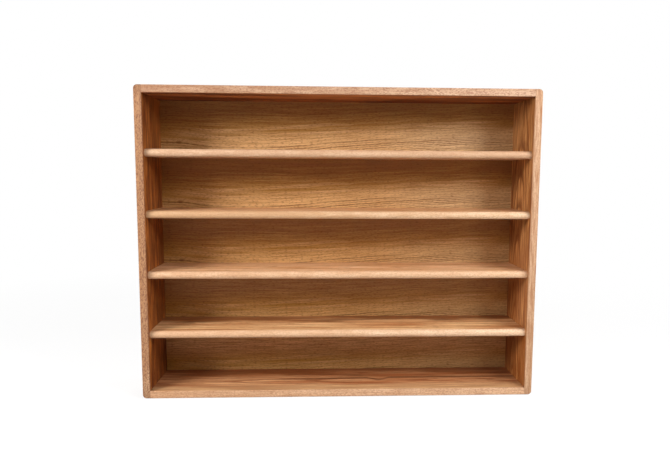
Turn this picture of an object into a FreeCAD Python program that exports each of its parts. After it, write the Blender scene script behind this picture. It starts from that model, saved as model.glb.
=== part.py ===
"""Open oak rack for compact discs: five equal tiers between two full-height sides.

Solid red oak boards with a plywood back.  The top and the bottom are butted between the sides
and dowelled to them.  Four fixed shelves are housed in stopped dados, and the back lies in a
rabbet that runs round the rear of the case, flush with the boards' rear edges.

Frame: millimetres, +Z up, the open front faces -Y and the shelves run along X.  The origin is
on the surface that the rack stands on, below the middle of its width and depth.
"""
import FreeCAD, Part
import math
import os

V = FreeCAD.Vector
AXIS_X = V(1, 0, 0)
ORIGIN = V(0, 0, 0)

# ---------------------------------------------------------------- case
OUTER_WIDTH = 1016.0        # over the outer faces of the two sides
OUTER_HEIGHT = 794.0        # floor to the top face
OUTER_DEPTH = 171.0         # front edges to the back's rear face
CASE_BOARD = 19.0           # thickness of the sides, the top and the bottom
SHELF_BOARD = 19.0          # thickness of the four shelves
TIERS = 5                   # equal compartments, one shelf fewer
SHELF_SETBACK = 9.5         # front edges of the sides to the foremost line of a shelf

# ---------------------------------------------------------------- arrises
CORNER_RADIUS = 9.5         # outer corners of the case, seen from the front
FRONT_ROUND = 3.2           # outer front arris, all round the case
REAR_EASE = 1.0             # outer rear arris, all round the case
INNER_EASE = 1.5            # front arrises that border the open tiers

# ---------------------------------------------------------------- shelf housings
DADO_DEPTH = 6.0            # depth of a housing in the side
DADO_START = 22.0           # foremost line of a shelf to the rounded front end of its housing
DADO_PLAY = 0.05            # above and below a shelf's tongue
DADO_END_GAP = 0.3          # glue space beyond a tongue's end

# ---------------------------------------------------------------- back
BACK_THICKNESS = 6.0        # plywood, and the depth of the rabbet it lies in
BACK_LAP = 8.0              # how far the back laps onto each board of the case
BACK_PLAY = 0.5             # gap at each edge of the back inside its rabbet

# ---------------------------------------------------------------- dowels
DOWELS_PER_CORNER = 2
DOWEL_DIAMETER = 9.5
DOWEL_LENGTH = 38.0
DOWEL_COVER = 6.5           # oak left between a dowel hole and the side's outer face
DOWEL_MARGIN = 30.0         # first and last dowel from the front edge and from the rabbet
DOWEL_PLAY = 0.05           # round a dowel in its hole
DOWEL_END_GAP = 0.5         # glue space at each end of a dowel
DOWEL_CHAMFER = 1.0         # lead-in at each end of a dowel

# ---------------------------------------------------------------- brads
BRAD_LENGTH = 19.0
BRAD_WIDTH = 1.2            # wire of a gun-driven brad, along X
BRAD_DEPTH = 1.0            # wire of a gun-driven brad, along Z
BRAD_HEAD_WIDTH = 2.2
BRAD_HEAD_HEIGHT = 0.8
BRAD_POINT = 2.0            # length of the chisel point
BRAD_SPACING = 240.0        # longest distance between two brads along a board
BRAD_MARGIN = 14.0          # end brads of a row from the inner faces of the sides

# ---------------------------------------------------------------- places
SIDE_OUT = OUTER_WIDTH / 2                     # outer face of the right side
SIDE_IN = SIDE_OUT - CASE_BOARD                # inner face of the right side
FRONT = -OUTER_DEPTH / 2                       # front edges of the case
REAR = OUTER_DEPTH / 2                         # rear edges of the case and rear of the back
BACK_FRONT = REAR - BACK_THICKNESS             # front face of the back
FLOOR_TOP = CASE_BOARD                         # upper face of the bottom
CEILING = OUTER_HEIGHT - CASE_BOARD            # lower face of the top
SHELF_COUNT = TIERS - 1
TIER_HEIGHT = (CEILING - FLOOR_TOP - SHELF_COUNT * SHELF_BOARD) / TIERS
SHELF_PITCH = TIER_HEIGHT + SHELF_BOARD
SHELF_FRONT = FRONT + SHELF_SETBACK            # foremost line of the shelves
SHELF_RADIUS = SHELF_BOARD / 2                 # bullnose of the shelves
DADO_FRONT = SHELF_FRONT + DADO_START          # rounded front end of the housings
DADO_RADIUS = SHELF_RADIUS + DADO_PLAY         # half the width of a housing
DOWEL_IN_SIDE = CASE_BOARD - DOWEL_COVER - DOWEL_END_GAP
OVERCUT = 5.0                                  # how far a cutter stands out of the wood


def box(low, high):
    """Block between two opposite corners."""
    size = V(*high).sub(V(*low))
    return Part.makeBox(size.x, size.y, size.z, V(*low))


def spread(first, last, count):
    """Evenly spaced places from first to last."""
    step = (last - first) / (count - 1)
    return [first + step * index for index in range(count)]


def edges_where(shape, test):
    """Edges of which both ends and the middle pass the test."""
    found = []
    for edge in shape.Edges:
        middle = edge.valueAt((edge.FirstParameter + edge.LastParameter) / 2)
        points = [vertex.Point for vertex in edge.Vertexes] + [middle]
        if all(test(point) for point in points):
            found.append(edge)
    return found


def same(a, b):
    return abs(a - b) < 1e-6


def mirrored_x(shape):
    return shape.mirror(ORIGIN, AXIS_X)


def mirrored_z(shape):
    return shape.mirror(V(0, 0, OUTER_HEIGHT / 2), V(0, 0, 1))


def shelf_middles():
    """Heights of the middle planes of the shelves, the uppermost first."""
    return [CEILING - index * SHELF_PITCH + SHELF_RADIUS for index in range(1, TIERS)]


# ---------------------------------------------------------------- fasteners
def dowel_places():
    """Y of each dowel of a corner joint."""
    return spread(FRONT + DOWEL_MARGIN, BACK_FRONT - DOWEL_MARGIN, DOWELS_PER_CORNER)


def peg(radius, start_x, end_x, y):
    """Round bar along X in the middle plane of the top."""
    middle = V(start_x, y, OUTER_HEIGHT - CASE_BOARD / 2)
    return Part.makeCylinder(radius, end_x - start_x, middle, AXIS_X)


def dowel(y):
    """Beech dowel with a chamfer at each end, in the joint of the top and the right side."""
    end = SIDE_IN + DOWEL_IN_SIDE
    pin = peg(DOWEL_DIAMETER / 2, end - DOWEL_LENGTH, end, y)
    rims = [edge for edge in pin.Edges if edge.Closed]
    return pin.makeChamfer(DOWEL_CHAMFER, rims)


def dowel_holes():
    """The bores that the dowels of that joint are glued into, through both boards."""
    end = SIDE_IN + DOWEL_IN_SIDE + DOWEL_END_GAP
    start = end - DOWEL_LENGTH - 2 * DOWEL_END_GAP
    radius = DOWEL_DIAMETER / 2 + DOWEL_PLAY
    return Part.makeCompound([peg(radius, start, end, y) for y in dowel_places()])


def brad(x, z):
    """Brad driven forward from the rear face of the back: T head, flat wire, chisel point."""
    half_wire = BRAD_WIDTH / 2
    half_head = BRAD_HEAD_WIDTH / 2
    tip = REAR - BRAD_LENGTH
    outline = [
        V(x - half_head, REAR, 0),
        V(x - half_head, REAR - BRAD_HEAD_HEIGHT, 0),
        V(x - half_wire, REAR - BRAD_HEAD_HEIGHT, 0),
        V(x - half_wire, tip + BRAD_POINT, 0),
        V(x, tip, 0),
        V(x + half_wire, tip + BRAD_POINT, 0),
        V(x + half_wire, REAR - BRAD_HEAD_HEIGHT, 0),
        V(x + half_head, REAR - BRAD_HEAD_HEIGHT, 0),
        V(x + half_head, REAR, 0),
    ]
    face = Part.Face(Part.makePolygon(outline + outline[:1]))
    face.translate(V(0, 0, z - BRAD_DEPTH / 2))
    return face.extrude(V(0, 0, BRAD_DEPTH))


def brad_row(z):
    """Brads along a shelf, the top or the bottom."""
    reach = SIDE_IN - BRAD_MARGIN
    count = math.ceil(2 * reach / BRAD_SPACING) + 1
    return [brad(x, z) for x in spread(-reach, reach, count)]


def edge_brads():
    """Brads into the rabbets: rows in the top and the bottom, one per tier in each side."""
    lap_middle = BACK_LAP / 2
    brads = brad_row(CEILING + lap_middle) + brad_row(FLOOR_TOP - lap_middle)
    for tier in range(TIERS):
        tier_middle = FLOOR_TOP + tier * SHELF_PITCH + TIER_HEIGHT / 2
        brads.append(brad(SIDE_IN + lap_middle, tier_middle))
        brads.append(brad(-SIDE_IN - lap_middle, tier_middle))
    return brads


def shelf_brads():
    """Brads into the rear edge of every shelf."""
    brads = []
    for middle in shelf_middles():
        brads.extend(brad_row(middle))
    return brads


# ---------------------------------------------------------------- boards
def ease_cutter(length):
    """What a round-over takes off an arris along Z: a square strip less its inscribed round."""
    strip = Part.makeBox(2 * INNER_EASE, 2 * INNER_EASE, length, V(-INNER_EASE, -INNER_EASE, 0))
    kept = Part.makeCylinder(INNER_EASE, length, V(INNER_EASE, INNER_EASE, 0))
    corner = Part.makeBox(INNER_EASE, INNER_EASE, length)
    return strip.common(corner).cut(kept)


def housing(middle):
    """Stopped dado in the right side: round at the front as the router leaves it."""
    slot = box(
        (SIDE_IN - OVERCUT, DADO_FRONT + DADO_RADIUS, middle - DADO_RADIUS),
        (SIDE_IN + DADO_DEPTH, BACK_FRONT, middle + DADO_RADIUS),
    )
    round_end = Part.makeCylinder(
        DADO_RADIUS,
        DADO_DEPTH + OVERCUT,
        V(SIDE_IN - OVERCUT, DADO_FRONT + DADO_RADIUS, middle),
        AXIS_X,
    )
    return slot.fuse(round_end)


def side_rabbet():
    """Recess for the back in the right side, stopped level with those of the top and bottom."""
    return box(
        (SIDE_IN - OVERCUT, BACK_FRONT, FLOOR_TOP - BACK_LAP),
        (SIDE_IN + BACK_LAP, REAR + OVERCUT, CEILING + BACK_LAP),
    )


def right_side():
    """Full-height side with rounded outer corners, housings, rabbet and dowel holes."""
    board = box((SIDE_IN, FRONT, 0), (SIDE_OUT, REAR, OUTER_HEIGHT))
    corners = edges_where(board, lambda p: same(p.x, SIDE_OUT) and same(p.z, 0))
    corners += edges_where(board, lambda p: same(p.x, SIDE_OUT) and same(p.z, OUTER_HEIGHT))
    board = board.makeFillet(CORNER_RADIUS, corners)

    inner_front = edges_where(board, lambda p: same(p.y, FRONT) and same(p.x, SIDE_IN))
    front_rim = edges_where(board, lambda p: same(p.y, FRONT))
    outer_front = [e for e in front_rim if not any(e.isSame(i) for i in inner_front)]
    board = board.makeFillet(FRONT_ROUND, outer_front)

    inner_rear = edges_where(board, lambda p: same(p.y, REAR) and same(p.x, SIDE_IN))
    rear_rim = edges_where(board, lambda p: same(p.y, REAR))
    outer_rear = [e for e in rear_rim if not any(e.isSame(i) for i in inner_rear)]
    board = board.makeFillet(REAR_EASE, outer_rear)

    ease = ease_cutter(CEILING - FLOOR_TOP)
    ease.translate(V(SIDE_IN, FRONT, FLOOR_TOP))
    cutters = [ease, side_rabbet(), dowel_holes(), mirrored_z(dowel_holes())]
    cutters += [housing(middle) for middle in shelf_middles()]
    for cutter in cutters:
        board = board.cut(cutter)
    return board


def top_panel():
    """Top, butted between the sides, with its rabbet for the back along the lower rear edge."""
    panel = box((-SIDE_IN, FRONT, CEILING), (SIDE_IN, REAR, OUTER_HEIGHT))
    upper_front = edges_where(panel, lambda p: same(p.y, FRONT) and same(p.z, OUTER_HEIGHT))
    panel = panel.makeFillet(FRONT_ROUND, upper_front)
    lower_front = edges_where(panel, lambda p: same(p.y, FRONT) and same(p.z, CEILING))
    panel = panel.makeFillet(INNER_EASE, lower_front)
    upper_rear = edges_where(panel, lambda p: same(p.y, REAR) and same(p.z, OUTER_HEIGHT))
    panel = panel.makeFillet(REAR_EASE, upper_rear)
    rabbet = box(
        (-SIDE_IN - OVERCUT, BACK_FRONT, CEILING - OVERCUT),
        (SIDE_IN + OVERCUT, REAR + OVERCUT, CEILING + BACK_LAP),
    )
    for cutter in (rabbet, dowel_holes(), mirrored_x(dowel_holes())):
        panel = panel.cut(cutter)
    return panel


def shelf(middle):
    """Shelf with a full bullnose, notched behind it so that each end enters its housing."""
    upper = middle + SHELF_RADIUS
    lower = middle - SHELF_RADIUS
    nose_back = SHELF_FRONT + SHELF_RADIUS
    nose = Part.Arc(
        V(-SIDE_IN, nose_back, lower),
        V(-SIDE_IN, SHELF_FRONT, middle),
        V(-SIDE_IN, nose_back, upper),
    ).toShape()
    rest = Part.makePolygon([
        V(-SIDE_IN, nose_back, upper),
        V(-SIDE_IN, BACK_FRONT, upper),
        V(-SIDE_IN, BACK_FRONT, lower),
        V(-SIDE_IN, nose_back, lower),
    ])
    section = Part.Face(Part.Wire([nose] + rest.Edges))
    span = section.extrude(V(2 * SIDE_IN, 0, 0))
    tongue_end = SIDE_IN + DADO_DEPTH - DADO_END_GAP
    tongue_front = DADO_FRONT + DADO_RADIUS
    tongues = box((-tongue_end, tongue_front, lower), (tongue_end, BACK_FRONT, upper))
    return span.fuse(tongues).removeSplitter()


def back_panel():
    """Plywood back, cut to the rabbets less the play at its edges."""
    reach = SIDE_IN + BACK_LAP - BACK_PLAY
    return box(
        (-reach, BACK_FRONT, FLOOR_TOP - BACK_LAP + BACK_PLAY),
        (reach, REAR, CEILING + BACK_LAP - BACK_PLAY),
    )


# ---------------------------------------------------------------- assembly
nodes = {}
nodes["right_side"] = right_side()
nodes["left_side"] = mirrored_x(nodes["right_side"])
nodes["top_panel"] = top_panel()
nodes["bottom_panel"] = mirrored_z(nodes["top_panel"])
for number, height in enumerate(shelf_middles(), start=1):
    nodes["shelf_" + str(number)] = shelf(height)
nodes["back_panel"] = back_panel()

corner = Part.makeCompound([dowel(y) for y in dowel_places()])
nodes["top_right_dowels"] = corner
nodes["top_left_dowels"] = mirrored_x(corner)
nodes["bottom_right_dowels"] = mirrored_z(corner)
nodes["bottom_left_dowels"] = mirrored_x(mirrored_z(corner))

# A brad makes its own hole in what it is driven into.
nodes["back_edge_brads"] = Part.makeCompound(edge_brads())
nodes["back_shelf_brads"] = Part.makeCompound(shelf_brads())
nailed = ["right_side", "left_side", "top_panel", "bottom_panel", "back_panel"]
for name in nailed:
    nodes[name] = nodes[name].cut(nodes["back_edge_brads"])
for name in [key for key in nodes if key.startswith("shelf_")] + ["back_panel"]:
    nodes[name] = nodes[name].cut(nodes["back_shelf_brads"])

os.makedirs("parts", exist_ok=True)
for name, shape in nodes.items():
    shape.exportStep("parts/" + name + ".step")
    print(name, len(shape.Solids), round(shape.Volume), shape.isValid())
print("tier height", round(TIER_HEIGHT, 2))
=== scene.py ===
import math
import bmesh
import bpy
from mathutils import Matrix, Vector


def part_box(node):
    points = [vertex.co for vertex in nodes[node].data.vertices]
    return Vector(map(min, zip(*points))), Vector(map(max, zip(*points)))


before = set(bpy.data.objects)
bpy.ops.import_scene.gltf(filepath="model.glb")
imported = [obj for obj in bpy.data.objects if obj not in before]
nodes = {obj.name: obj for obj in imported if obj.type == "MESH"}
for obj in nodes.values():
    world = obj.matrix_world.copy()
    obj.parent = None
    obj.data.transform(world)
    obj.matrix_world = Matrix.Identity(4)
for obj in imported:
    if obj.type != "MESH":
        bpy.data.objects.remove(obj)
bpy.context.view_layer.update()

# Red oak rack for compact discs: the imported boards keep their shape, and this script gives them
# their finishes, a floor, light and a camera.  Everything is in metres, in the frame of the boards,
# but the patterns in the wood are worked out in millimetres.
MM = 0.001

# ---------------------------------------------------------------- what the boards measure
side_low, side_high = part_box("right_side")
back_low, back_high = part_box("back_panel")
shelf_boxes = {name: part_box(name) for name in nodes if name.startswith("shelf_")}
SIDE_IN = side_low.x / MM              # inner face of the right side
SIDE_OUT = side_high.x / MM
FRONT = side_low.y / MM                # front edges of the case
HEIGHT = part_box("top_panel")[1].z / MM
SHELF_FRONT = shelf_boxes["shelf_1"][0].y / MM
BACK_MIDDLE = (back_low.y + back_high.y) / 2 / MM


# ---------------------------------------------------------------- nodes and colours
def linear(code):
    """Linear RGBA of an sRGB hex colour."""
    shares = [int(code[i:i + 2], 16) / 255 for i in (1, 3, 5)]
    return (*(s / 12.92 if s <= 0.04045 else ((s + 0.055) / 1.055) ** 2.4 for s in shares), 1.0)


def add(tree, kind, inputs=None, **options):
    """Adds a node.  inputs holds a value or the socket to link for each input, by name or place."""
    node = tree.nodes.new("ShaderNode" + kind)
    for name, value in options.items():
        setattr(node, name, value)
    for name, value in (inputs or {}).items():
        if isinstance(value, bpy.types.NodeSocket):
            tree.links.new(value, node.inputs[name])
        else:
            node.inputs[name].default_value = value
    return node


def new_material(name):
    """An empty material of that name and its node tree."""
    material = bpy.data.materials.new(name)
    material.use_nodes = True
    material.node_tree.nodes.clear()
    return material, material.node_tree


def painted(tree, ground, mask, share, code):
    """The ground with another colour over it where the mask is 1, covering at most that share."""
    amount = add(tree, "Math", {0: mask, 1: share}, operation="MULTIPLY").outputs[0]
    mixed = add(tree, "Mix", {0: amount, "A": ground, "B": linear(code)}, data_type="RGBA")
    return mixed.outputs["Result"]


def stretched_noise(tree, place, size, between=None, detail=2.0, roughness=0.5):
    """Noise from 0 to 1 whose blotches measure about size, in millimetres each way.

    between holds the two values of the noise that become 0 and 1, where it is used as a mask.
    """
    shrunk = add(tree, "VectorMath", {0: place, 1: [1 / s for s in size]}, operation="MULTIPLY")
    settings = {"Vector": shrunk.outputs[0], "Scale": 1.0, "Detail": detail, "Roughness": roughness}
    noise = add(tree, "TexNoise", settings).outputs["Fac"]
    if between is None:
        return noise
    spread = {"Value": noise, "From Min": between[0], "From Max": between[1]}
    return add(tree, "MapRange", spread).outputs[0]


def wood_millimetres(tree, grain, kind="Object"):
    """Place, or the way a surface faces, as length, width and thickness of a board.

    grain is the way the length runs: X for shelves, top and bottom, Z for sides, and veneer for
    the back, whose grain runs along X and whose width stands up.
    """
    found = add(tree, "TexCoord").outputs[kind]
    if kind == "Object":
        found = add(tree, "VectorMath", {0: found, "Scale": 1 / MM}, operation="SCALE").outputs[0]
    parts = add(tree, "SeparateXYZ", {0: found}).outputs
    order = {"X": (0, 1, 2), "Z": (2, 1, 0), "veneer": (0, 2, 1)}[grain]
    return add(tree, "CombineXYZ", {i: parts[order[i]] for i in range(3)}).outputs[0]


# ---------------------------------------------------------------- red oak
# Boards of flat-sawn red oak, planed, sanded and given a clear satin varnish.  The faces are a warm
# amber brown with arched growth bands, rows of open pores and darker streaks along the grain; on the
# sides and the top this colour holds painted shade, darker and redder as in the shade inside the
# case, and the outside is painted paler without it.  The front edges and the round noses, sanded
# hardest and touched most, stay pale and pinkish, and show the pores as short specks.
#
# The size of a pattern is measured along the grain, across it and through the board.  Pores are
# 0.3 to 0.5 mm wide in real oak, and fibres finer still.  Here they and the lines of an edge are
# drawn coarser, so that a row of them shows as one dash or one line.
PORES = {"size": (18.0, 2.6, 2.6), "between": (0.54, 0.68), "detail": 1.0}
SPECKS = {"size": (5.0, 2.6, 2.6), "between": (0.46, 0.62)}    # pores cut short at an edge
EDGE_LINES = {"size": (55.0, 2.6, 2.6), "between": (0.4, 0.64), "detail": 3.0}
EDGE_PATCHES = {"size": (60.0, 30.0, 9.0), "detail": 3.0}
EDGE_BLEND = (0.25, 0.75)      # the patches turn from pale to dark between these values
RAYS = {"size": (9.0, 1.5, 4.0), "between": (0.56, 0.7), "detail": 1.0}
FIBRES = {"size": (70.0, 3.0, 3.0), "between": (0.42, 0.62), "detail": 3.0}
# Flecks show where a year's growth breaks the surface in short dashes.
FLECKS = {"size": (60.0, 9.0, 9.0), "between": (0.46, 0.6), "detail": 3.0}
UNEVEN_YEARS = {"size": (900.0, 60.0, 60.0), "detail": 1.0}
YEARS_SHIFTED = 1.2            # how many years such a blotch shifts the rings at most
WANDER = (260.0, 70.0, 70.0)   # how slowly the grain wanders along and across a board
WANDER_REACH = 16.0            # how far it wanders
GROWTH = ((0.0, 0.3), (0.1, 1.0), (0.45, 0.25), (1.0, 0.0))    # early wood at shares of a year
LATE_WOOD_PORES = 0.25         # pores left in the late wood
FIBRE_SHARE = 0.5
END_BROWN = "#7E5638"
# What is laid over the wood, each as the share that it covers and its colour.
PORE_SHADE = (0.6, "#5E3216")
RAY_TAN = (0.25, "#A56F42")
OUTSIDE_UNSHADED_TAN = (0.65, "#C08E62")        # painted light: the outside is paler and calmer than the faces, whose colour holds painted shade
CUT_END = (0.65, END_BROWN)
JOINT_SHADE = (0.5, "#6B4426")
EDGE_FADE = (2.0, -1.0)        # the face turns into the edge between these, past the edge's depth
SHADED_DEPTHS = (-20.0, 75.0)  # painted shade: a level board grows darker between these depths, towards its rear
HIGH_HEIGHTS = (630.0, 700.0)  # painted light: a side is paler high up at the rear, between these heights
HIGH_DEPTHS = (-10.0, 40.0)    # and these depths
HIGH_SHARE = 0.3
TIP_REACH = (32.0, 14.0)       # its front edge turns brown between these distances from its ends
END_FACING = (0.35, 0.85)      # a surface that faces along the board this squarely is a cut end
JOINT_WIDTH = 1.6              # of the shade where a level board meets a side
OUTSIDE_FADE = 6.0             # over this much, deep in a board, the outside's painted light and duller varnish take over

# What a board's looks may set, and what they are otherwise.
USUAL_LOOKS = {
    "lean": (0.0, 0.015),      # how far the heart of the log moves off per length
    "ring": 5.5,               # width of a year's growth
    "figure": 1.0,             # contrast of growth and fibres
    "ringed": 0.85,            # share of the early wood's colour in the rings
    "streak_length": 420.0,
    "streak_width": 10.0,
    "blend": 0.08,             # how softly streaks and plain wood run into each other
    "flecked": 0.0,            # share of the flecks
    "deep": 0.45,              # share of the painted shade at the rear of a level board
    "along": (0.5, 0.5),       # how dark the front edge is at lengths -SIDE_IN and SIDE_IN
    "speck": "#9E6C48",        # colour of lines and specks on the front edge
    "speckled": 0.5,           # share of the specks there
    "lined": 0.35,             # share of the lines there
    "tipped": 0.0,             # share of the brown at the ends of a side's front edge
    "outside": None,           # thicknesses at which the outside's painted light and duller varnish begin and are full
    "extra": None,             # function that paints what only this board has
}


def sideways_push(tree, cut):
    """The slow wandering of the grain, as how far a place is pushed sideways."""
    shrunk = add(tree, "VectorMath", {0: cut, 1: [1 / s for s in WANDER]}, operation="MULTIPLY")
    noise = add(tree, "TexNoise", {"Vector": shrunk.outputs[0], "Scale": 1.0, "Detail": 2.0})
    centred = add(tree, "VectorMath", {0: noise.outputs["Color"], 1: (0.5, 0.5, 0.5)},
                  operation="SUBTRACT")
    return add(tree, "VectorMath", {0: centred.outputs[0], 1: (0, WANDER_REACH, WANDER_REACH)},
               operation="MULTIPLY").outputs[0]


def growth_rings(tree, place, cut, heart, looks):
    """Mask of the early wood, from the distance to the heart, which leans away along the board."""
    lean_across, lean_through = looks["lean"]
    turned = add(tree, "Mapping", {
        "Vector": place, "Location": (0, -heart[0], -heart[1]),
        "Rotation": (0, math.atan(lean_through), math.atan(lean_across)),
    })
    flat = add(tree, "VectorMath", {0: turned.outputs[0], 1: (0, 1, 1)}, operation="MULTIPLY")
    distance = add(tree, "VectorMath", {0: flat.outputs[0]}, operation="LENGTH").outputs["Value"]
    years = add(tree, "Math", {0: distance, 1: looks["ring"]}, operation="DIVIDE").outputs[0]
    uneven = stretched_noise(tree, cut, **UNEVEN_YEARS)
    years = add(tree, "Math", {0: uneven, 1: YEARS_SHIFTED, 2: years}, operation="MULTIPLY_ADD")
    year = add(tree, "Math", {0: years.outputs[0]}, operation="FRACT").outputs[0]
    growth = add(tree, "ValToRGB", {0: year})
    stops = growth.color_ramp.elements
    for share, _ in GROWTH[1:-1]:
        stops.new(share)
    for stop, (_, early) in zip(stops, GROWTH):
        stop.color = (early, early, early, 1)
    return growth.outputs[0]


def planed_face(tree, wandering, growth, fibres, looks):
    """Colour of a planed face: plain wood and streaks under growth bands, fibres and flecks."""
    streak_size = (looks["streak_length"], looks["streak_width"], looks["streak_width"])
    streaks = stretched_noise(tree, wandering, streak_size,
                              between=(0.5 - looks["blend"], 0.5 + looks["blend"]),
                              detail=3.0, roughness=0.65)
    ground = add(tree, "Mix", {0: streaks, "A": linear(looks["face"]), "B": linear(looks["streak"])},
                 data_type="RGBA")
    colour = painted(tree, ground.outputs["Result"], growth, looks["ringed"] * looks["figure"],
                     looks["early"])
    colour = painted(tree, colour, fibres, FIBRE_SHARE * looks["figure"], looks["early"])
    flecks = stretched_noise(tree, wandering, **FLECKS)
    return painted(tree, colour, flecks, looks["flecked"], looks["early"])


def rear_tone(tree, grain, length, width, colour, looks):
    """Painted shade darkens a level board's rear; painted light makes a side paler there high up."""
    if grain == "X":
        # Painted shade: a level board darker towards its rear.
        shaded = add(tree, "MapRange", {"Value": width, "From Min": SHADED_DEPTHS[0],
                                        "From Max": SHADED_DEPTHS[1]}).outputs[0]
        return painted(tree, colour, shaded, looks["deep"], looks["streak"])
    # Painted light: a side paler high up at the rear.
    high = add(tree, "MapRange", {"Value": length, "From Min": HIGH_HEIGHTS[0],
                                  "From Max": HIGH_HEIGHTS[1]}).outputs[0]
    rear = add(tree, "MapRange", {"Value": width, "From Min": HIGH_DEPTHS[0],
                                  "From Max": HIGH_DEPTHS[1]}).outputs[0]
    paler = add(tree, "Math", {0: high, 1: rear}, operation="MULTIPLY").outputs[0]
    return painted(tree, colour, paler, HIGH_SHARE, looks["face"])


def front_edge(tree, grain, length, cut, wandering, looks):
    """Colour of a front edge: pale and darker patches under fine lines and specks."""
    patches = stretched_noise(tree, cut, **EDGE_PATCHES)
    first, last = looks["along"]
    drift = add(tree, "MapRange", {"Value": length, "From Min": -SIDE_IN, "From Max": SIDE_IN,
                                   "To Min": first - 0.5, "To Max": last - 0.5})
    patches = add(tree, "Math", {0: patches, 1: drift.outputs[0]}, operation="ADD").outputs[0]
    patches = add(tree, "MapRange", {"Value": patches, "From Min": EDGE_BLEND[0],
                                     "From Max": EDGE_BLEND[1]}).outputs[0]
    mixed = add(tree, "Mix", {0: patches, "A": linear(looks["edge"]), "B": linear(looks["edge_dark"])},
                data_type="RGBA")
    lines = stretched_noise(tree, wandering, **EDGE_LINES)
    edge = painted(tree, mixed.outputs["Result"], lines, looks["lined"], looks["speck"])
    specks = stretched_noise(tree, wandering, **SPECKS)
    edge = painted(tree, edge, specks, looks["speckled"], looks["speck"])
    if grain == "Z":
        off_middle = add(tree, "Math", {0: length, 1: HEIGHT / 2}, operation="SUBTRACT").outputs[0]
        off_middle = add(tree, "Math", {0: off_middle}, operation="ABSOLUTE").outputs[0]
        tips = add(tree, "MapRange", {"Value": off_middle, "From Min": HEIGHT / 2 - TIP_REACH[0],
                                      "From Max": HEIGHT / 2 - TIP_REACH[1]}).outputs[0]
        edge = painted(tree, edge, tips, looks["tipped"], END_BROWN)
    return edge


def ends_and_joints(tree, grain, length, colour):
    """Cut ends drink more varnish and are darker, and the joints of a level board to the sides
    hold a thin line of shade."""
    facing = wood_millimetres(tree, grain, "Normal")
    ends = add(tree, "SeparateXYZ", {0: facing}).outputs[0]
    ends = add(tree, "Math", {0: ends}, operation="ABSOLUTE").outputs[0]
    ends = add(tree, "MapRange", {"Value": ends, "From Min": END_FACING[0],
                                  "From Max": END_FACING[1]}).outputs[0]
    colour = painted(tree, colour, ends, *CUT_END)
    if grain == "X":
        off_middle = add(tree, "Math", {0: length}, operation="ABSOLUTE").outputs[0]
        joints = add(tree, "MapRange", {"Value": off_middle, "From Min": SIDE_IN - JOINT_WIDTH,
                                        "From Max": SIDE_IN}).outputs[0]
        colour = painted(tree, colour, joints, *JOINT_SHADE)
    return colour


def oak(name, grain, start, heart, edge_depth, **looks):
    """Material of one oak board.

    start is where along the log it was cut, and heart the middle of the log, as a width and a
    thickness.  The front edge reaches edge_depth from the front.  looks are those of USUAL_LOOKS
    and the colours: face, streak and early of a face, of its streaks and of its early wood, edge
    and edge_dark of the front edge.
    """
    looks = {**USUAL_LOOKS, **looks}
    material, tree = new_material(name)
    place = wood_millimetres(tree, grain)
    cut = add(tree, "VectorMath", {0: place, 1: (start, 0, 0)}, operation="ADD").outputs[0]
    length, width, thickness = add(tree, "SeparateXYZ", {0: place}).outputs
    push = sideways_push(tree, cut)
    wandering = add(tree, "VectorMath", {0: cut, 1: push}, operation="ADD").outputs[0]
    pushed = add(tree, "VectorMath", {0: place, 1: push}, operation="ADD").outputs[0]

    growth = growth_rings(tree, pushed, cut, heart, looks)
    fibres = stretched_noise(tree, wandering, **FIBRES)
    pores = stretched_noise(tree, wandering, **PORES)
    porous = add(tree, "MapRange", {"Value": growth, "To Min": LATE_WOOD_PORES}).outputs[0]
    pores = add(tree, "Math", {0: pores, 1: porous}, operation="MULTIPLY").outputs[0]
    rays = stretched_noise(tree, cut, **RAYS)

    colour = planed_face(tree, wandering, growth, fibres, looks)
    outside_lit_and_worn = None
    if looks["outside"] is not None:
        begun, full = looks["outside"]
        outside_lit_and_worn = add(tree, "MapRange", {"Value": thickness, "From Min": begun,
                                      "From Max": full}).outputs[0]
        # Painted light: the outside is paler and calmer, without the painted shade in the faces'
        # colour.
        colour = painted(tree, colour, outside_lit_and_worn, *OUTSIDE_UNSHADED_TAN)
    colour = painted(tree, colour, rays, *RAY_TAN)
    colour = painted(tree, colour, pores, *PORE_SHADE)
    if looks["extra"] is not None:
        colour = looks["extra"](tree, place, cut, colour)
    colour = rear_tone(tree, grain, length, width, colour, looks)

    # The front edge fades into the face over its rounded corner.
    edge = front_edge(tree, grain, length, cut, wandering, looks)
    front = add(tree, "MapRange", {"Value": width, "From Min": edge_depth + EDGE_FADE[0],
                                   "From Max": edge_depth + EDGE_FADE[1]}).outputs[0]
    colour = add(tree, "Mix", {0: front, "A": colour, "B": edge}, data_type="RGBA").outputs["Result"]
    colour = ends_and_joints(tree, grain, length, colour)
    satin_varnish(tree, colour, pores, fibres, outside_lit_and_worn)
    return material


# Satin varnish over open grain: pores stay a little sunk and duller.
VARNISH_ROUGHNESS = 0.48
PORE_ROUGHNESS = 0.64
WORN_ROUGHNESS = 0.85          # where handling and dust have taken the sheen off
VARNISH_SPECULAR = 0.3
RELIEF = 0.12 * MM             # from the sunk pores to the raised fibres
RELIEF_STRENGTH = 0.3


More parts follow.
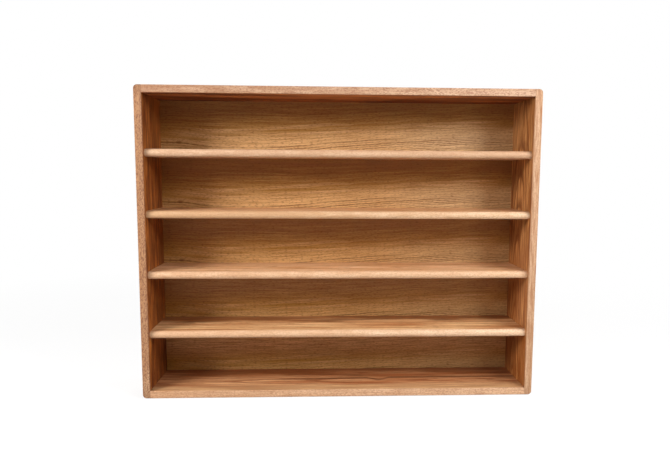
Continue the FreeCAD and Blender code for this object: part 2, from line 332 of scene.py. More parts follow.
def satin_varnish(tree, colour, pores, fibres, outside_lit_and_worn=None):
    """Finishes a material of that colour with satin varnish, duller in the pores and on the outside.
    """
    rough = add(tree, "MapRange", {"Value": pores, "To Min": VARNISH_ROUGHNESS,
                                   "To Max": PORE_ROUGHNESS}).outputs[0]
    if outside_lit_and_worn is not None:
        outside_lit_and_worn = add(tree, "Math", {0: outside_lit_and_worn, 1: WORN_ROUGHNESS}, operation="MULTIPLY").outputs[0]
        rough = add(tree, "Math", {0: rough, 1: outside_lit_and_worn}, operation="MAXIMUM").outputs[0]
    relief = add(tree, "Math", {0: pores, 1: -1.0, 2: fibres}, operation="MULTIPLY_ADD").outputs[0]
    bump = add(tree, "Bump", {"Height": relief, "Strength": RELIEF_STRENGTH, "Distance": RELIEF})
    shader = add(tree, "BsdfPrincipled", {
        "Base Color": colour, "Roughness": rough, "Normal": bump.outputs[0],
        "Specular IOR Level": VARNISH_SPECULAR,
    })
    add(tree, "OutputMaterial", {"Surface": shader.outputs[0]})


# ---------------------------------------------------------------- veneer of the back
# Plywood faced with leaves of plain-sliced red oak, laid the same way up one below another, so the
# same figure comes again in each leaf: a long arch low on the left that climbs to the right as a
# fan of dark growth lines, and a pin knot near the left end.  A leaf is pale at its foot and
# browner towards its top, partly its own tone and partly painted shade: the leaves nearly match
# the tiers, so the browner tops lie where the shelves above shade the back.
LEAF_HEIGHT = 163.3
LEAF_START = 640.0             # height of one joint between leaves, hidden behind a shelf
REAR_LEAVES = (330.0, 70.0)    # how far along and up the leaves of the rear face are shifted
ARCH_START = -150.0            # where the lines begin to climb
ARCH_BEND = 120.0              # over this length
ARCH_CLIMB = 0.12
KNOT_SIDE = (-340.0, -450.0)   # between these places they rise to the left, round the knot
KNOT_RISE = 13.0
ARCH_FOOT = 10.0               # at this height of a leaf the arch has its full climb
ARCH_FADE = 75.0               # and over this height above it flattens out
WAVER = {"size": (90.0, 26.0, 100.0)}
WAVER_REACH = 7.0
TOP_LINE = 11.0                # height of the uppermost dark line at the left
TOP_LINE_SOFT = (4.0, 2.0)     # above it no line shows
LINE_SPACING = 7.5
LINE_WIDTHS = (2.6, 0.6)       # a line begins and is fully dark at these distances from its middle
LINES_LOW = (52.0, 30.0)       # the lines die out between these heights of a leaf
FAN_OPENS = (-300.0, -80.0)    # left of these places only the uppermost line is strong
FAN_LEFT = 0.2
DASHES = {"size": (13.0, 5.0, 100.0), "between": (0.2, 0.5), "detail": 1.0}
GAPS = {"size": (240.0, 9.0, 100.0), "between": (0.35, 0.55), "detail": 1.0}
PIN_KNOT = (-439.0, 23.0)
KNOT_SIZE = (8.0, 4.0)
KNOT_BORDER = (1.3, 0.5)       # its rim blurs between these shares of its size
BROAD_TONES = {"size": (240.0, 8.0, 100.0), "between": (0.34, 0.66), "detail": 3.0}
TONE_REACH = 26.0              # how far they shift the tone up and down
BROWN_ENDS = (370.0, 480.0)    # painted shade: towards the ends of the back, beside the sides, the tone is browner
BROWN_ENDS_SHIFT = 32.0
REAR_SHIFT = -90.0             # and on its rear face it is pale all over
TONE_HEIGHTS = (26.0, 145.0)   # heights at which a leaf has its first and last tone
TONES = ((0.0, "#E1B47C"), (0.38, "#B78745"), (0.72, "#99642D"), (1.0, "#8F5A2D"))
FINE_STREAKS = {"size": (90.0, 3.2, 100.0), "between": (0.42, 0.62), "detail": 4.0,
                "roughness": 0.68}
SHORT_PORES = {"size": (9.0, 2.8, 100.0), "between": (0.52, 0.66)}     # coarser, as on the boards
# What is laid over the tones, each as the share that it covers and its colour.
LINE_BROWN = "#6A3C17"
GREY_RIGHT = (0.65, "#DBBB8E")         # painted sheen: the right end is paler and greyer where the light falls low in a leaf
RED_LEFT = (0.2, "#A8651C")            # painted shade: and the left one redder
AMBER = (0.3, "#D09636")               # painted shade: lower down the back is darker and more amber
TAN = (0.4, "#CC9C62")                 # painted light: but the upper part of a leaf is paler and greyer there
HONEY = (0.5, "#E0A46A")               # painted light: and is paler still in the lowest tier
FINE_BROWN = (0.55, "#966224")
FINE_DARK = (0.3, LINE_BROWN)          # more of the fine streaks in the upper part of a leaf
SHORT_PORE_SHADE = (0.45, LINE_BROWN)
LINE_SHADE = (0.85, LINE_BROWN)
KNOT_SHADE = (0.6, LINE_BROWN)
GREY_PLACES = (60.0, 330.0)            # the grey grows between these places
GREY_HEIGHTS = (85.0, 45.0)            # and from the first down to the second height of a leaf
RED_PLACES = (-290.0, -410.0)          # the red grows between these
AMBER_HEIGHTS = (600.0, 130.0)         # and the amber between these heights of the back
UPPER_PART = (60.0, 100.0)             # of a leaf
TOP_TIER = (715.0, 745.0)              # painted light: the tan shows here too, but less
TOP_TIER_TAN = 0.4
LOWEST_TIER = (160.0, 130.0)           # the honey grows between these heights of the back


def line_height(tree, x, v, leaf):
    """Height measured along the growth lines: level on the left, climbing to the right."""
    past = add(tree, "Math", {0: x, 1: -ARCH_START}, operation="ADD").outputs[0]
    climb = add(tree, "Math", {0: past, 1: 0.0, 2: ARCH_BEND}, operation="SMOOTH_MAX").outputs[0]
    knot_side = add(tree, "MapRange", {"Value": x, "From Min": KNOT_SIDE[0], "From Max": KNOT_SIDE[1],
                                       "To Max": KNOT_RISE}, interpolation_type="SMOOTHSTEP")
    rise = add(tree, "Math", {0: climb, 1: ARCH_CLIMB, 2: knot_side.outputs[0]},
               operation="MULTIPLY_ADD").outputs[0]
    fade = add(tree, "Math", {0: v, 1: -1 / ARCH_FADE, 2: ARCH_FOOT / ARCH_FADE},
               operation="MULTIPLY_ADD").outputs[0]
    fade = add(tree, "Math", {0: fade}, operation="EXPONENT").outputs[0]
    rise = add(tree, "Math", {0: rise, 1: fade}, operation="MULTIPLY").outputs[0]
    h = add(tree, "Math", {0: v, 1: rise}, operation="SUBTRACT").outputs[0]
    waver = stretched_noise(tree, leaf, **WAVER)
    waver = add(tree, "Math", {0: waver, 1: -0.5}, operation="ADD").outputs[0]
    return add(tree, "Math", {0: waver, 1: WAVER_REACH, 2: h}, operation="MULTIPLY_ADD").outputs[0]


def leaf_tones(tree, x, h, along_lines, rear):
    """Broad tones of a leaf by height, partly painted shade, shifted by slow noise and browner
    towards the ends as painted shade.
    """
    ends = add(tree, "Math", {0: x}, operation="ABSOLUTE").outputs[0]
    ends = add(tree, "MapRange", {"Value": ends, "From Min": BROWN_ENDS[0], "From Max": BROWN_ENDS[1],
                                  "To Max": BROWN_ENDS_SHIFT}).outputs[0]
    broad = stretched_noise(tree, along_lines, **BROAD_TONES)
    broad = add(tree, "Math", {0: broad, 1: 2 * TONE_REACH, 2: -TONE_REACH},
                operation="MULTIPLY_ADD").outputs[0]
    tone = add(tree, "Math", {0: ends, 1: broad}, operation="ADD").outputs[0]
    tone = add(tree, "Math", {0: tone, 1: h}, operation="ADD").outputs[0]
    tone = add(tree, "Math", {0: rear, 1: REAR_SHIFT, 2: tone}, operation="MULTIPLY_ADD").outputs[0]
    tone = add(tree, "MapRange", {"Value": tone, "From Min": TONE_HEIGHTS[0],
                                  "From Max": TONE_HEIGHTS[1]}).outputs[0]
    tones = add(tree, "ValToRGB", {0: tone})
    stops = tones.color_ramp.elements
    for share, _ in TONES[1:-1]:
        stops.new(share)
    for stop, (_, code) in zip(stops, TONES):
        stop.color = linear(code)
    return tones.outputs[0]


def end_tones(tree, colour, x, v):
    """Painted sheen makes the right end of the back greyer low in a leaf, and painted shade makes
    the left end redder.
    """
    # Painted sheen: paler and greyer low in a leaf at the right end.
    right_end = add(tree, "MapRange", {"Value": x, "From Min": GREY_PLACES[0],
                                       "From Max": GREY_PLACES[1]}, interpolation_type="SMOOTHSTEP")
    low_part = add(tree, "MapRange", {"Value": v, "From Min": GREY_HEIGHTS[0],
                                      "From Max": GREY_HEIGHTS[1]}, interpolation_type="SMOOTHSTEP")
    greyer = add(tree, "Math", {0: right_end.outputs[0], 1: low_part.outputs[0]},
                 operation="MULTIPLY").outputs[0]
    colour = painted(tree, colour, greyer, *GREY_RIGHT)
    # Painted shade: the left end redder.
    left_end = add(tree, "MapRange", {"Value": x, "From Min": RED_PLACES[0],
                                      "From Max": RED_PLACES[1]}).outputs[0]
    return painted(tree, colour, left_end, *RED_LEFT)


def tier_tones(tree, colour, z, upper_part):
    """Lower down the back is more amber, as painted shade, but tan and honey in the upper part of
    a leaf, as painted light.
    """
    # Painted shade: more amber lower down.
    lower = add(tree, "MapRange", {"Value": z, "From Min": AMBER_HEIGHTS[0],
                                   "From Max": AMBER_HEIGHTS[1]}).outputs[0]
    tan = add(tree, "Math", {0: lower, 1: upper_part}, operation="MULTIPLY").outputs[0]
    amber = add(tree, "Math", {0: lower, 1: tan}, operation="SUBTRACT").outputs[0]
    colour = painted(tree, colour, amber, *AMBER)
    # Painted light: tan over the upper part of a leaf lower down and over the top tier's upper strip.
    top_tier = add(tree, "MapRange", {"Value": z, "From Min": TOP_TIER[0], "From Max": TOP_TIER[1],
                                      "To Max": TOP_TIER_TAN}).outputs[0]
    tan = add(tree, "Math", {0: tan, 1: top_tier}, operation="MAXIMUM").outputs[0]
    colour = painted(tree, colour, tan, *TAN)
    # Painted light: paler in the upper part of a leaf in the lowest tier.
    honey = add(tree, "MapRange", {"Value": z, "From Min": LOWEST_TIER[0],
                                   "From Max": LOWEST_TIER[1]}).outputs[0]
    honey = add(tree, "Math", {0: honey, 1: upper_part}, operation="MULTIPLY").outputs[0]
    return painted(tree, colour, honey, *HONEY)


def growth_lines(tree, x, v, h, along_lines):
    """Mask of the dark growth lines low in a leaf, dashed and broken by noise."""
    beat = add(tree, "Math", {0: h, 1: TOP_LINE}, operation="SUBTRACT").outputs[0]
    beat = add(tree, "Math", {0: beat, 1: LINE_SPACING / 2}, operation="PINGPONG").outputs[0]
    lines = add(tree, "MapRange", {"Value": beat, "From Min": LINE_WIDTHS[0],
                                   "From Max": LINE_WIDTHS[1]}).outputs[0]
    under = add(tree, "MapRange", {"Value": h, "From Min": TOP_LINE + TOP_LINE_SOFT[0],
                                   "From Max": TOP_LINE + TOP_LINE_SOFT[1]}).outputs[0]
    fan = add(tree, "MapRange", {"Value": x, "From Min": FAN_OPENS[0], "From Max": FAN_OPENS[1],
                                 "To Min": FAN_LEFT}).outputs[0]
    first = add(tree, "MapRange", {"Value": h, "From Min": TOP_LINE - LINE_SPACING,
                                   "From Max": TOP_LINE - LINE_SPACING / 3}).outputs[0]
    fan = add(tree, "Math", {0: fan, 1: first}, operation="MAXIMUM").outputs[0]
    low = add(tree, "MapRange", {"Value": v, "From Min": LINES_LOW[0],
                                 "From Max": LINES_LOW[1]}).outputs[0]
    whole = stretched_noise(tree, along_lines, **GAPS)
    dashes = stretched_noise(tree, along_lines, **DASHES)
    for mask in (under, fan, whole, low, dashes):
        lines = add(tree, "Math", {0: lines, 1: mask}, operation="MULTIPLY").outputs[0]
    return lines


def pin_knot(tree, leaf):
    """Mask of the pin knot, which is squat and darkest in its middle."""
    centred = add(tree, "VectorMath", {0: leaf, 1: (*PIN_KNOT, 0)}, operation="SUBTRACT").outputs[0]
    squat = add(tree, "VectorMath", {0: centred, 1: (1 / KNOT_SIZE[0], 1 / KNOT_SIZE[1], 0)},
                operation="MULTIPLY").outputs[0]
    knot = add(tree, "VectorMath", {0: squat}, operation="LENGTH").outputs["Value"]
    return add(tree, "MapRange", {"Value": knot, "From Min": KNOT_BORDER[0],
                                  "From Max": KNOT_BORDER[1]}).outputs[0]


def oak_veneer(name):
    """Material of the oak plywood back."""
    material, tree = new_material(name)
    place = wood_millimetres(tree, "veneer")
    x, z, y = add(tree, "SeparateXYZ", {0: place}).outputs
    rear = add(tree, "Math", {0: y, 1: BACK_MIDDLE}, operation="GREATER_THAN").outputs[0]
    x = add(tree, "Math", {0: rear, 1: REAR_LEAVES[0], 2: x}, operation="MULTIPLY_ADD").outputs[0]
    z = add(tree, "Math", {0: rear, 1: REAR_LEAVES[1], 2: z}, operation="MULTIPLY_ADD").outputs[0]

    # v is the height in a leaf, and h the height measured along its growth lines.
    above = add(tree, "Math", {0: z, 1: -LEAF_START}, operation="ADD").outputs[0]
    v = add(tree, "Math", {0: above, 1: LEAF_HEIGHT}, operation="FLOORED_MODULO").outputs[0]
    leaf = add(tree, "CombineXYZ", {0: x, 1: v}).outputs[0]
    h = line_height(tree, x, v, leaf)
    along_lines = add(tree, "CombineXYZ", {0: x, 1: h}).outputs[0]
    upper_part = add(tree, "MapRange", {"Value": v, "From Min": UPPER_PART[0],
                                        "From Max": UPPER_PART[1]}).outputs[0]
    upper_part = add(tree, "Math", {0: upper_part, 1: rear}, operation="SUBTRACT",
                     use_clamp=True).outputs[0]

    colour = leaf_tones(tree, x, h, along_lines, rear)
    colour = end_tones(tree, colour, x, v)
    colour = tier_tones(tree, colour, z, upper_part)
    fine = stretched_noise(tree, along_lines, **FINE_STREAKS)
    colour = painted(tree, colour, fine, *FINE_BROWN)
    darker = add(tree, "Math", {0: fine, 1: upper_part}, operation="MULTIPLY").outputs[0]
    colour = painted(tree, colour, darker, *FINE_DARK)
    pores = stretched_noise(tree, along_lines, **SHORT_PORES)
    colour = painted(tree, colour, pores, *SHORT_PORE_SHADE)
    lines = growth_lines(tree, x, v, h, along_lines)
    colour = painted(tree, colour, lines, *LINE_SHADE)
    colour = painted(tree, colour, pin_knot(tree, leaf), *KNOT_SHADE)
    satin_varnish(tree, colour, pores, fine)
    return material


# ---------------------------------------------------------------- what single boards have
# What is laid over the wood here too is a share and a colour.
FOOT_HEIGHTS = (190.0, 150.0)  # into the right side's lowest tier
LOW_HEIGHTS = (460.0, 300.0)   # and into its two lowest tiers
FOOT_DEPTHS = (-30.0, 30.0)    # from its front part to its rear part
PALER_FRONT = (0.12, "#F3AC7A")
REDDER_FOOT = (0.4, "#91460D")


def red_foot(tree, place, cut, colour):
    """What the right side has: it is redder in its lowest tier and low down at the rear, and a
    little paler in front in the tier above."""
    z, y = add(tree, "SeparateXYZ", {0: place}).outputs[:2]
    lowest = add(tree, "MapRange", {"Value": z, "From Min": FOOT_HEIGHTS[0],
                                    "From Max": FOOT_HEIGHTS[1]}).outputs[0]
    low = add(tree, "MapRange", {"Value": z, "From Min": LOW_HEIGHTS[0],
                                 "From Max": LOW_HEIGHTS[1]}).outputs[0]
    rear = add(tree, "MapRange", {"Value": y, "From Min": FOOT_DEPTHS[0],
                                  "From Max": FOOT_DEPTHS[1]}).outputs[0]
    front = add(tree, "Math", {0: 1.0, 1: rear}, operation="SUBTRACT").outputs[0]
    paler = add(tree, "Math", {0: low, 1: lowest}, operation="SUBTRACT").outputs[0]
    paler = add(tree, "Math", {0: paler, 1: front}, operation="MULTIPLY").outputs[0]
    colour = painted(tree, colour, paler, *PALER_FRONT)
    redder = add(tree, "Math", {0: low, 1: rear}, operation="MULTIPLY").outputs[0]
    redder = add(tree, "Math", {0: redder, 1: lowest}, operation="MAXIMUM").outputs[0]
    return painted(tree, colour, redder, *REDDER_FOOT)


HEARTWOOD = {"size": (160.0, 22.0, 22.0)}
HEARTWOOD_BETWEEN = (0.42, 0.6)        # the noise turns into streaks between these values
HEARTWOOD_DEPTHS = (0.0, 50.0)         # between these depths it gains this much, so that the
HEARTWOOD_GAIN = (-0.25, 0.12)         # streaks come at the rear
HEARTWOOD_BROWN = (0.75, "#54280E")


def brown_rear(tree, place, cut, colour):
    """Long brown streaks of heartwood, lens-shaped, along the rear of a board."""
    depth = add(tree, "SeparateXYZ", {0: place}).outputs[1]
    gain = add(tree, "MapRange", {
        "Value": depth, "From Min": HEARTWOOD_DEPTHS[0], "From Max": HEARTWOOD_DEPTHS[1],
        "To Min": HEARTWOOD_GAIN[0], "To Max": HEARTWOOD_GAIN[1],
    }).outputs[0]
    streaks = stretched_noise(tree, cut, **HEARTWOOD)
    streaks = add(tree, "Math", {0: streaks, 1: gain}, operation="ADD").outputs[0]
    streaks = add(tree, "MapRange", {"Value": streaks, "From Min": HEARTWOOD_BETWEEN[0],
                                     "From Max": HEARTWOOD_BETWEEN[1]}).outputs[0]
    return painted(tree, colour, streaks, *HEARTWOOD_BROWN)


RED_DEPTHS = (-66.0, -40.0)    # behind these depths the bottom board is redder
RED_MIDDLE = (0.3, "#A05C38")
PALE_DEPTHS = (-36.0, -62.0)   # and in front of these it is paler
PALE_FRONT = (0.27, "#E6BE8C")
SWIRL_BEGINS = (-230.0, -90.0)         # its dark line grows between these lengths
SWIRL_SLANTS = (-220.0, 200.0)         # and moves back between these
SWIRL_DEPTHS = (-6.0, 4.0)             # from the first depth to the second
SWIRL_BORDER = (9.0, 2.0)              # its border blurs between these distances from its middle
SWIRL_GAPS = {"size": (70.0, 5.0, 5.0), "between": (0.2, 0.45)}
SWIRL_BROWN = (0.8, "#4E2811")
KINK_MIDDLE = 108.0
KINK_HALF_LENGTH = 36.0
KINK_DEPTH = -15.0


def dark_swirl(tree, place, cut, colour):
    """The long dark line of the bottom board, which starts left of the middle and runs to the
    right with a kink, between a paler front, a redder middle and brown streaks at the rear."""
    x, y = add(tree, "SeparateXYZ", {0: place}).outputs[:2]
    red = add(tree, "MapRange", {"Value": y, "From Min": RED_DEPTHS[0], "From Max": RED_DEPTHS[1]},
              interpolation_type="SMOOTHSTEP").outputs[0]
    colour = painted(tree, colour, red, *RED_MIDDLE)
    front = add(tree, "MapRange", {"Value": y, "From Min": PALE_DEPTHS[0],
                                   "From Max": PALE_DEPTHS[1]}).outputs[0]
    colour = painted(tree, colour, front, *PALE_FRONT)

    slant = add(tree, "MapRange", {
        "Value": x, "From Min": SWIRL_SLANTS[0], "From Max": SWIRL_SLANTS[1],
        "To Min": SWIRL_DEPTHS[0], "To Max": SWIRL_DEPTHS[1],
    }, interpolation_type="SMOOTHSTEP").outputs[0]
    beside = add(tree, "Math", {0: x, 1: KINK_MIDDLE}, operation="SUBTRACT").outputs[0]
    beside = add(tree, "Math", {0: beside}, operation="ABSOLUTE").outputs[0]
    kink = add(tree, "MapRange", {
        "Value": beside, "From Min": 0.0, "From Max": KINK_HALF_LENGTH,
        "To Min": KINK_DEPTH, "To Max": 0.0,
    }, interpolation_type="SMOOTHSTEP").outputs[0]
    middle = add(tree, "Math", {0: slant, 1: kink}, operation="ADD").outputs[0]
    away = add(tree, "Math", {0: y, 1: middle}, operation="SUBTRACT").outputs[0]
    away = add(tree, "Math", {0: away}, operation="ABSOLUTE").outputs[0]
    line = add(tree, "MapRange", {"Value": away, "From Min": SWIRL_BORDER[0],
                                  "From Max": SWIRL_BORDER[1]}).outputs[0]
    whole = stretched_noise(tree, cut, **SWIRL_GAPS)
    begun = add(tree, "MapRange", {"Value": x, "From Min": SWIRL_BEGINS[0],
                                   "From Max": SWIRL_BEGINS[1]}).outputs[0]
    for mask in (whole, begun):
        line = add(tree, "Math", {0: line, 1: mask}, operation="MULTIPLY").outputs[0]
    colour = painted(tree, colour, line, *SWIRL_BROWN)
    return brown_rear(tree, place, cut, colour)


# ---------------------------------------------------------------- the boards
def dress(node, material):
    """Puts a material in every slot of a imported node."""
    slots = nodes[node].data.materials
    slots.clear()
    slots.append(material)


EDGE_DEPTH = FRONT + 4.0               # the front edge and its rounded corners
NOSE_DEPTH = SHELF_FRONT + 9.0
dress("left_side", oak(
    "left_side_oak", "Z", start=300.0, heart=(-30.0, -SIDE_OUT - 8.0), edge_depth=EDGE_DEPTH,
    face="#CC7B36", streak="#6C2E0C", early="#52260E",
    edge="#D0AB85", edge_dark="#AF815B", speck="#7E523A",
    outside=(-SIDE_IN - OUTSIDE_FADE, -SIDE_IN - 2 * OUTSIDE_FADE),
    lean=(0.02, 0.04), ring=8.0, figure=1.1, ringed=0.5, flecked=0.55,
    streak_length=130.0, streak_width=15.0, blend=0.13,
    along=(0.2, 1.0), speckled=0.95, tipped=0.35))
dress("right_side", oak(
    "right_side_oak", "Z", start=2100.0, heart=(12.0, SIDE_OUT + 6.0), edge_depth=EDGE_DEPTH,
    face="#EFB06D", streak="#894B1C", early="#6E3A16",
    edge="#CFAB8B", edge_dark="#B88C68",
    outside=(SIDE_IN + OUTSIDE_FADE, SIDE_IN + 2 * OUTSIDE_FADE),
    lean=(0.0, 0.1), ring=9.0, figure=1.15, ringed=0.8, flecked=0.4,
    streak_length=190.0, streak_width=14.0, blend=0.14,
    along=(0.7, 0.4), speckled=0.4, lined=0.85, tipped=0.1, extra=red_foot))
dress("top_panel", oak(
    "top_oak", "X", start=4400.0, heart=(20.0, HEIGHT + 6.0), edge_depth=EDGE_DEPTH,
    face="#E0874A", streak="#6B2B09", early="#5C2A12",
    edge="#CCA98B", edge_dark="#AC8262", speck="#8C5C42",
    outside=(HEIGHT - 2 * OUTSIDE_FADE, HEIGHT - OUTSIDE_FADE),
    lean=(0.0, 0.02), ring=8.0, figure=1.1, streak_width=32.0,
    along=(0.7, 0.2), speckled=0.65))
dress("bottom_panel", oak(
    "bottom_oak", "X", start=6300.0, heart=(-20.0, -8.0), edge_depth=EDGE_DEPTH,
    face="#F2C08A", streak="#A66235", early="#6E3C1C",
    edge="#DCB38F", edge_dark="#C4966F",
    outside=(2 * OUTSIDE_FADE, OUTSIDE_FADE),
    lean=(0.0, 0.035), ring=8.0, streak_width=20.0, blend=0.11,
    along=(0.6, 0.2), extra=dark_swirl))
ALL_SHELVES = {
    "face": "#F4CAA0", "streak": "#CC935F", "early": "#A06A3C", "speck": "#B0805C",
    "deep": 0.3, "speckled": 0.45, "lined": 0.2,
}
# The front edges of the lower shelves are painted paler, as painted light, where less of the lamps'
# light reaches them.
EACH_SHELF = {
    "shelf_1": {"edge": "#DEBC9C", "edge_dark": "#C49D7C", "along": (0.6, 0.75)},
    "shelf_2": {"edge": "#DFBE9B", "edge_dark": "#C49B73", "along": (0.9, 0.3)},
    "shelf_3": {"edge": "#E5C29F", "edge_dark": "#CEA37D", "along": (0.65, 0.5), "figure": 0.6},
    "shelf_4": {
        "edge": "#E9C8A6", "edge_dark": "#D2A883", "along": (0.85, 0.3), "speckled": 0.38,
        "face": "#EFC692", "streak": "#B0703F", "deep": 0.45, "figure": 0.6, "ringed": 0.5,
        "streak_width": 18.0, "blend": 0.12, "lean": (0.0, 0.03), "extra": brown_rear,
    },
}
FIRST_SHELF_START = 8000.0             # along the log
SHELF_STARTS_APART = 2500.0
SHELF_HEART_BELOW = 90.0
for count, name in enumerate(sorted(shelf_boxes)):
    low, high = shelf_boxes[name]
    middle_height = (low.z + high.z) / 2 / MM
    dress(name, oak(
        name + "_oak", "X", start=FIRST_SHELF_START + SHELF_STARTS_APART * count,
        heart=(0.0, middle_height - SHELF_HEART_BELOW), edge_depth=NOSE_DEPTH,
        **{**ALL_SHELVES, **EACH_SHELF[name]}))
dress("back_panel", oak_veneer("back_oak_veneer"))


# ---------------------------------------------------------------- hardware
def beech(name):
    """Beech dowel rod, turned and left raw: pale, even, with fine short flecks."""
    material, tree = new_material(name)
    place = wood_millimetres(tree, "X")
    flecks = stretched_noise(tree, place, size=(3.0, 0.5, 0.5))
    colour = add(tree, "Mix", {0: flecks, "A": linear("#DDBB8E"), "B": linear("#B88A5C")},
                 data_type="RGBA").outputs["Result"]
    shader = add(tree, "BsdfPrincipled", {"Base Color": colour, "Roughness": 0.7})
    add(tree, "OutputMaterial", {"Surface": shader.outputs[0]})
    return material


def drawn_steel(name):
    """Bright drawn steel wire of gun brads, struck flat at the head."""
    material, tree = new_material(name)
    place = wood_millimetres(tree, "X")
    marks = stretched_noise(tree, place, size=(0.4, 0.4, 0.4), detail=3.0)
    colour = add(tree, "Mix", {0: marks, "A": linear("#B9B6B0"), "B": linear("#8C8780")},
                 data_type="RGBA").outputs["Result"]
    rough = add(tree, "MapRange", {"Value": marks, "To Min": 0.28, "To Max": 0.5}).outputs[0]
    shader = add(tree, "BsdfPrincipled", {"Base Color": colour, "Metallic": 1.0, "Roughness": rough})
    add(tree, "OutputMaterial", {"Surface": shader.outputs[0]})
    return material


beech_rod = beech("raw_beech_dowel")
brad_wire = drawn_steel("drawn_steel_brads")
for name in nodes:
    if name.endswith("_dowels"):
        dress(name, beech_rod)
    if name.endswith("_brads"):
        dress(name, brad_wire)


# ---------------------------------------------------------------- floor
FLOOR_REACH = 6.0
FLOOR_DROP = 0.5 * MM          # below the rack, so that no faces coincide
GLOW_NEAR = 0.7                # within this distance of the middle the floor shows its shadows
GLOW_FAR = 2.4                 # beyond this it is plain white
GLOW_SHARES = (0.8, 1.0)


def seen_rays(tree, glossy=None):
    """Mask of the rays that show a thing: the camera's own, those through glass and mirrored ones.

    glossy, where it is given, is how much of the mirrored ones counts.
    """
    ray = add(tree, "LightPath").outputs
    mirrored = ray["Is Glossy Ray"]
    if glossy is not None:
        mirrored = add(tree, "Math", {0: mirrored, 1: glossy}, operation="MULTIPLY").outputs[0]
    seen = add(tree, "Math", {0: ray["Is Camera Ray"], 1: mirrored}, operation="MAXIMUM").outputs[0]
    return add(tree, "Math", {0: seen, 1: ray["Is Transmission Ray"]}, operation="MAXIMUM").outputs[0]


def white_floor(name):
    """Matt white floor.  Looked at or mirrored, it glows a little near the rack, so that the
    shadow is soft, and is plain white further off.  The light that it throws back on the rack is
    that of a pale grey floor."""
    material, tree = new_material(name)
    place = add(tree, "TexCoord").outputs["Object"]
    away = add(tree, "VectorMath", {0: place}, operation="LENGTH").outputs["Value"]
    share = add(tree, "MapRange", {
        "Value": away, "From Min": GLOW_NEAR, "From Max": GLOW_FAR,
        "To Min": GLOW_SHARES[0], "To Max": GLOW_SHARES[1],
    }, interpolation_type="SMOOTHSTEP").outputs[0]
    white = add(tree, "BsdfDiffuse", {"Color": linear("#FAFAFA")}).outputs[0]
    glow = add(tree, "Emission", {"Color": linear("#FFFFFF"), "Strength": 1.0}).outputs[0]
    seen = add(tree, "MixShader", {0: share, 1: white, 2: glow}).outputs[0]
    grey = add(tree, "BsdfDiffuse", {"Color": linear("#DAD8D6")}).outputs[0]
    both = add(tree, "MixShader", {0: seen_rays(tree), 1: grey, 2: seen}).outputs[0]
    add(tree, "OutputMaterial", {"Surface": both})
    return material


shape = bmesh.new()
bmesh.ops.create_grid(shape, x_segments=1, y_segments=1, size=FLOOR_REACH)
bmesh.ops.translate(shape, verts=shape.verts, vec=(0, 0, -FLOOR_DROP))
floor_mesh = bpy.data.meshes.new("floor")
shape.to_mesh(floor_mesh)
shape.free()
floor = bpy.data.objects.new("floor", floor_mesh)
bpy.context.scene.collection.objects.link(floor)
floor_mesh.materials.append(white_floor("matt_white_floor"))


# ---------------------------------------------------------------- light
AIM = Vector((0.0, 0.0, 0.4))
WORLD_LIGHT = 0.03
MIRRORED_ROOM = 0.08           # how bright varnish mirrors the room on the camera's side
BACKDROP_BEGINS = (-0.3, 0.2)  # from the room to the backdrop, by how far back a ray points


def softbox(name, place, size, power):
    """Soft square lamp that stands at a place and is aimed at the middle of the rack."""
    data = bpy.data.lights.new(name, "AREA")
    data.shape = "SQUARE"
    data.size = size
    data.energy = power
    lamp = bpy.data.objects.new(name, data)
    lamp.location = place
    lamp.rotation_euler = (AIM - lamp.location).to_track_quat("-Z", "Y").to_euler()
    bpy.context.scene.collection.objects.link(lamp)


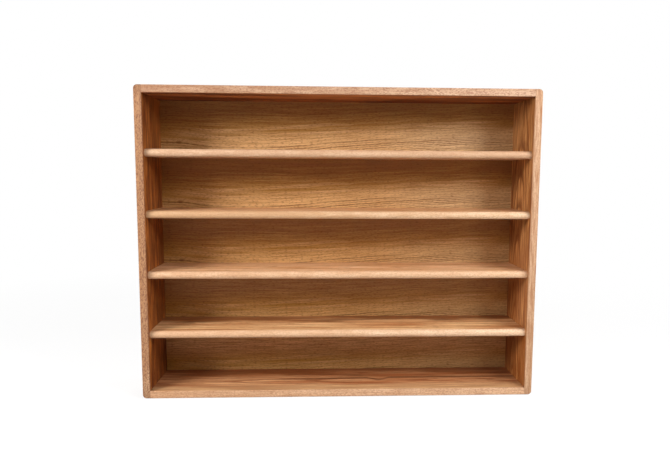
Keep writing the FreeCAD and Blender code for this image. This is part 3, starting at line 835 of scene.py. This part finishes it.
def white_studio(name):
    """World with a white backdrop behind the rack and a dim room on the camera's side, so that the
    varnish isn't veiled by a reflection of a white room."""
    world = bpy.data.worlds.new(name)
    world.use_nodes = True
    tree = world.node_tree
    tree.nodes.clear()
    way = add(tree, "TexCoord").outputs["Generated"]
    back = add(tree, "SeparateXYZ", {0: way}).outputs[1]
    behind = add(tree, "MapRange", {
        "Value": back, "From Min": BACKDROP_BEGINS[0], "From Max": BACKDROP_BEGINS[1],
        "To Min": MIRRORED_ROOM, "To Max": 1.0,
    }).outputs[0]
    room = add(tree, "Background", {"Color": linear("#FFFFFF"), "Strength": WORLD_LIGHT}).outputs[0]
    white = add(tree, "Background", {"Color": linear("#FFFFFF"), "Strength": 1.0}).outputs[0]
    both = add(tree, "MixShader", {0: seen_rays(tree, behind), 1: room, 2: white}).outputs[0]
    add(tree, "OutputWorld", {"Surface": both})
    return world


softbox("left_lamp", place=(-1.9, -1.25, 1.45), size=1.0, power=67.0)
softbox("right_lamp", place=(1.3, -1.3, 1.35), size=0.6, power=24.0)
softbox("high_right_lamp", place=(2.0, -1.0, 2.0), size=0.6, power=28.0)
softbox("rear_lamp", place=(0.6, 3.8, 2.6), size=1.8, power=90.0)
softbox("side_lamp", place=(4.0, 1.6, 2.4), size=1.8, power=60.0)
bpy.context.scene.world = white_studio("white_backdrop")

# ---------------------------------------------------------------- camera
# It stands a little left of the rack's middle, above its half height, and looks down.
CAMERA_PLACE = Vector((-0.04576, -1.53939, 0.58013))
CAMERA_YAW = 0.0422            # turned to the right, in radians
CAMERA_PITCH = -0.10514        # tipped down
CAMERA_ROLL = 0.00558
SENSOR_WIDTH = 36.0            # in millimetres, like the lens
LENS = 30.985
SHIFT = (-0.017406, 0.006581)

ahead = Vector((math.sin(CAMERA_YAW) * math.cos(CAMERA_PITCH),
                math.cos(CAMERA_YAW) * math.cos(CAMERA_PITCH), math.sin(CAMERA_PITCH)))
right = Vector((math.cos(CAMERA_YAW), -math.sin(CAMERA_YAW), 0.0))
up = right.cross(ahead)
rolled_right = math.cos(CAMERA_ROLL) * right + math.sin(CAMERA_ROLL) * up
rolled_up = -math.sin(CAMERA_ROLL) * right + math.cos(CAMERA_ROLL) * up
camera_data = bpy.data.cameras.new("camera")
camera_data.sensor_width = SENSOR_WIDTH
camera_data.lens = LENS
camera_data.shift_x, camera_data.shift_y = SHIFT
camera = bpy.data.objects.new("camera", camera_data)
turn = Matrix((rolled_right, rolled_up, -ahead)).transposed()
camera.matrix_world = Matrix.Translation(CAMERA_PLACE) @ turn.to_4x4()
bpy.context.scene.collection.objects.link(camera)
bpy.context.scene.camera = camera
bpy.context.scene.view_settings.view_transform = "Standard"
